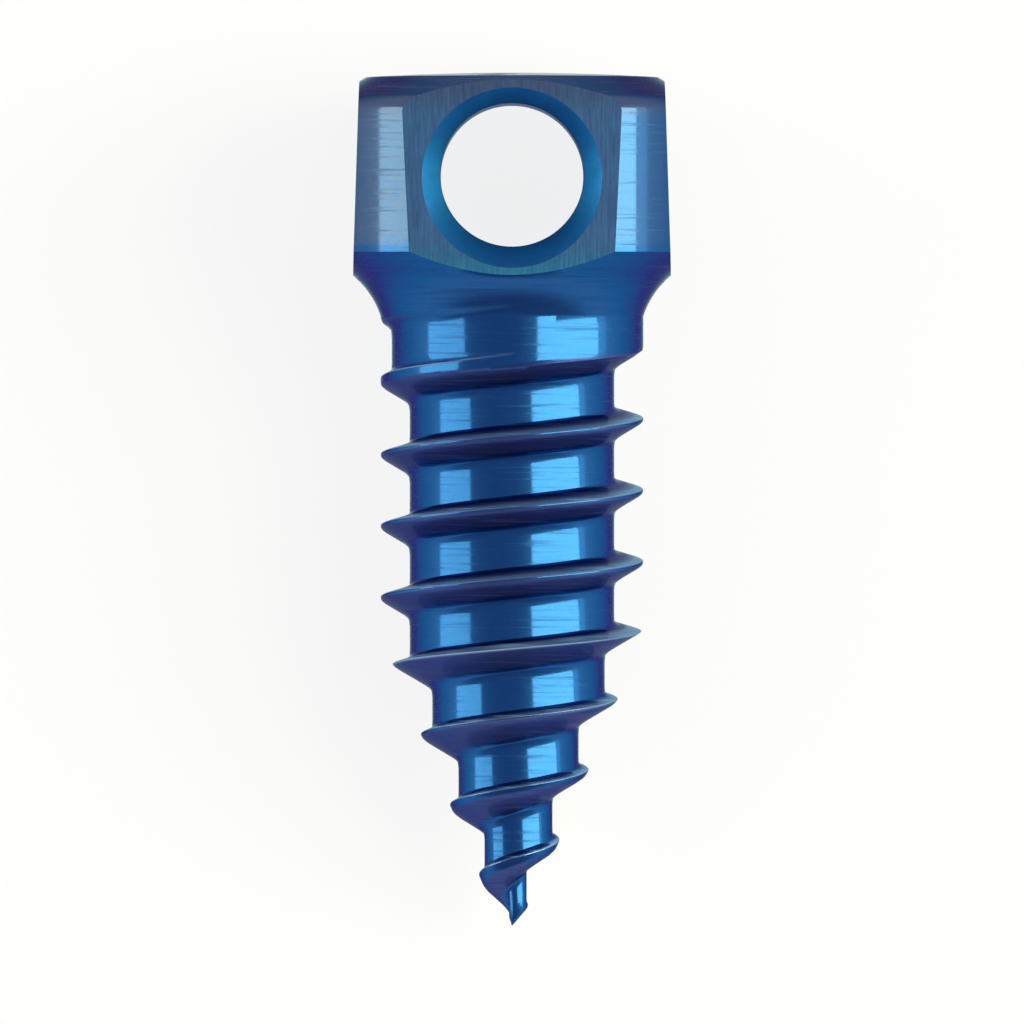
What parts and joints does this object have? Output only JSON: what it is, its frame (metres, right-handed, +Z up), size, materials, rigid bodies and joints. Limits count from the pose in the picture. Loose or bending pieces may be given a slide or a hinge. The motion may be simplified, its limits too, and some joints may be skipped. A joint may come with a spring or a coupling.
{
  "type": "bone anchor screw",
  "caption": "Short blue bone anchor screw with a square head crossed by a countersunk hole, a hollow shoulder and a coarse thread that tapers to a point.",
  "frame": {"origin": "centre of the bottom of the outer box of the screw as it lies at rest", "axes": "+Y from the tip towards the head, level; +Z up through the cross hole's front mouth, +X across the screw; the screw's axis leans up towards +Y by 4.6 degrees"},
  "size_m": [0.0056, 0.015, 0.0057],
  "materials": {
    "anodised_titanium": "blue anodised, bright turned thread and finely milled flats"
  },
  "bodies": {
    "root": {"bone_anchor_screw": "anodised_titanium"}
  },
  "joints": []
}
